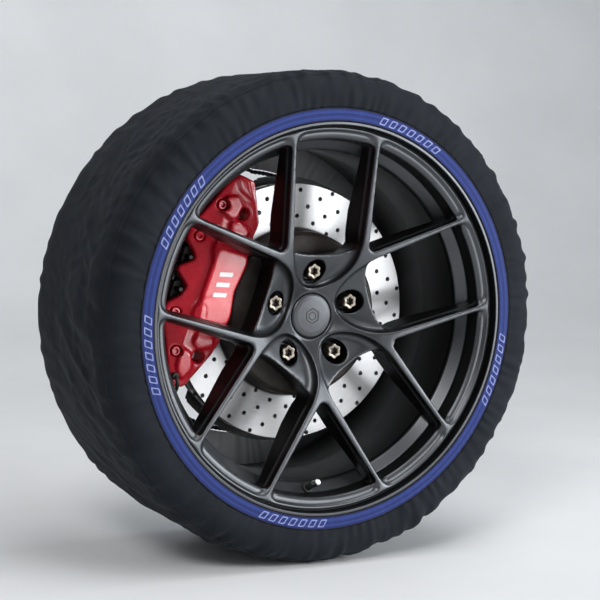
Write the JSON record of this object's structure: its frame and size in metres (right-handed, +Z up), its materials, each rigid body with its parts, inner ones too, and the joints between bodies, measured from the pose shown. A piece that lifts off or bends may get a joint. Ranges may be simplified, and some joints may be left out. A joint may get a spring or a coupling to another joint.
{
  "type": "car wheel with textile snow sock",
  "caption": "Car wheel and tyre wearing a dark textile snow sock with a blue elastic band, with its hub, vented brake disc, fixed caliper and knuckle.",
  "frame": {"origin": "centre of the wheel, on its spin axis and on the middle plane of the tyre", "axes": "+Y along the spin axis, inboard; the outboard face looks along -Y; +Z up; +X to the right of someone who faces the wheel"},
  "size_m": [0.6504, 0.2683, 0.6504],
  "materials": {
    "sock_fabric": "matt woven polyester, nearly black with a blue cast",
    "sock_band": "blue ribbed elastic webbing",
    "hem_elastic": "dark covered elastic cord",
    "tyre_rubber": "black rubber",
    "satin_black_alloy": "satin black paint on forged aluminium",
    "cap_plastic": "satin black plastic",
    "valve_rubber": "black rubber",
    "black_nut": "black coated steel",
    "hub_steel": "machined steel",
    "bright_steel": "ground steel",
    "zinc_plate": "zinc plated steel",
    "brass": "brass",
    "brake_iron": "ground grey iron, bright where the pads sweep it",
    "cast_iron": "raw casting",
    "red_caliper_paint": "gloss red enamel",
    "friction_lining": "pressed friction material",
    "sensor_plastic": "moulded plastic"
  },
  "bodies": {
    "knuckle": {"knuckle": "cast_iron", "bearing_outer_race": "bright_steel", "dust_shield": "zinc_plate", "shield_bolt_1": "zinc_plate", "shield_bolt_2": "zinc_plate", "shield_bolt_3": "zinc_plate", "speed_sensor": "sensor_plastic", "caliper_outer_half": "red_caliper_paint", "caliper_inner_half": "red_caliper_paint", "bridge_bolt_1": "zinc_plate", "bridge_bolt_2": "zinc_plate", "bridge_bolt_3": "zinc_plate", "bridge_bolt_4": "zinc_plate", "mounting_bolt_1": "zinc_plate", "mounting_bolt_2": "zinc_plate", "pad_pin_1": "bright_steel", "pad_pin_2": "bright_steel", "pad_spring": "bright_steel", "bleed_screw_outer": "zinc_plate", "bleed_screw_inner": "zinc_plate", "crossover_pipe": "bright_steel"},
    "wheel": {"sock_tread_band": "sock_fabric", "sock_outer_side": "sock_fabric", "sock_outer_band": "sock_band", "sock_inner_side": "sock_fabric", "sock_inner_elastic": "hem_elastic", "tyre": "tyre_rubber", "wheel": "satin_black_alloy", "centre_cap": "cap_plastic", "valve_stem": "valve_rubber", "valve_cap": "bright_steel", "lug_nut_1": "black_nut", "lug_nut_2": "black_nut", "lug_nut_3": "black_nut", "lug_nut_4": "black_nut", "lug_nut_5": "black_nut", "wheel_stud_1": "hub_steel", "wheel_stud_2": "hub_steel", "wheel_stud_3": "hub_steel", "wheel_stud_4": "hub_steel", "wheel_stud_5": "hub_steel", "hub": "hub_steel", "axle_stub": "hub_steel", "axle_nut": "zinc_plate", "bearing_inner_race": "bright_steel", "brake_disc": "brake_iron", "disc_screw_1": "zinc_plate", "disc_screw_2": "zinc_plate"},
    "bearing_cage": {"bearing_cage": "brass"},
    "valve_pin": {"valve_core_pin": "brass"},
    "outer_pad": {"outer_pad_plate": "cast_iron", "outer_pad_lining": "friction_lining"},
    "inner_pad": {"inner_pad_plate": "cast_iron", "inner_pad_lining": "friction_lining"},
    "piston_1": {"piston_1": "bright_steel"},
    "piston_2": {"piston_2": "bright_steel"},
    "piston_3": {"piston_3": "bright_steel"},
    "piston_4": {"piston_4": "bright_steel"}
  },
  "joints": [
    {"name": "wheel_spin", "type": "hinge", "parent": "knuckle", "child": "wheel", "pos_m": [0, 0, 0], "axis": [0, 1, 0], "continuous": true},
    {"name": "bearing_cage_spin", "type": "hinge", "parent": "knuckle", "child": "bearing_cage", "pos_m": [0, 0, 0], "axis": [0, 1, 0], "continuous": true},
    {"name": "outer_pad_slide", "type": "slide", "parent": "knuckle", "child": "outer_pad", "axis": [0, 1, 0], "range_m": [0, 0.00045]},
    {"name": "inner_pad_slide", "type": "slide", "parent": "knuckle", "child": "inner_pad", "axis": [0, -1, 0], "range_m": [0, 0.00045]},
    {"name": "piston_1_slide", "type": "slide", "parent": "knuckle", "child": "piston_1", "axis": [0, 1, 0], "range_m": [0, 0.00045]},
    {"name": "piston_2_slide", "type": "slide", "parent": "knuckle", "child": "piston_2", "axis": [0, 1, 0], "range_m": [0, 0.00045]},
    {"name": "piston_3_slide", "type": "slide", "parent": "knuckle", "child": "piston_3", "axis": [0, -1, 0], "range_m": [0, 0.00045]},
    {"name": "piston_4_slide", "type": "slide", "parent": "knuckle", "child": "piston_4", "axis": [0, -1, 0], "range_m": [0, 0.00045]},
    {"name": "valve_pin_press", "type": "slide", "parent": "wheel", "child": "valve_pin", "axis": [-0.0184, 0.9063, -0.4222], "range_m": [0, 0.001], "stiffness_N_per_m": 500}
  ],
  "couplings": [
    {"joint": "bearing_cage_spin", "follows": "wheel_spin", "ratio": 0.442},
    {"joint": "inner_pad_slide", "follows": "outer_pad_slide", "ratio": 1},
    {"joint": "piston_1_slide", "follows": "outer_pad_slide", "ratio": 1},
    {"joint": "piston_2_slide", "follows": "outer_pad_slide", "ratio": 1},
    {"joint": "piston_3_slide", "follows": "outer_pad_slide", "ratio": 1},
    {"joint": "piston_4_slide", "follows": "outer_pad_slide", "ratio": 1}
  ]
}
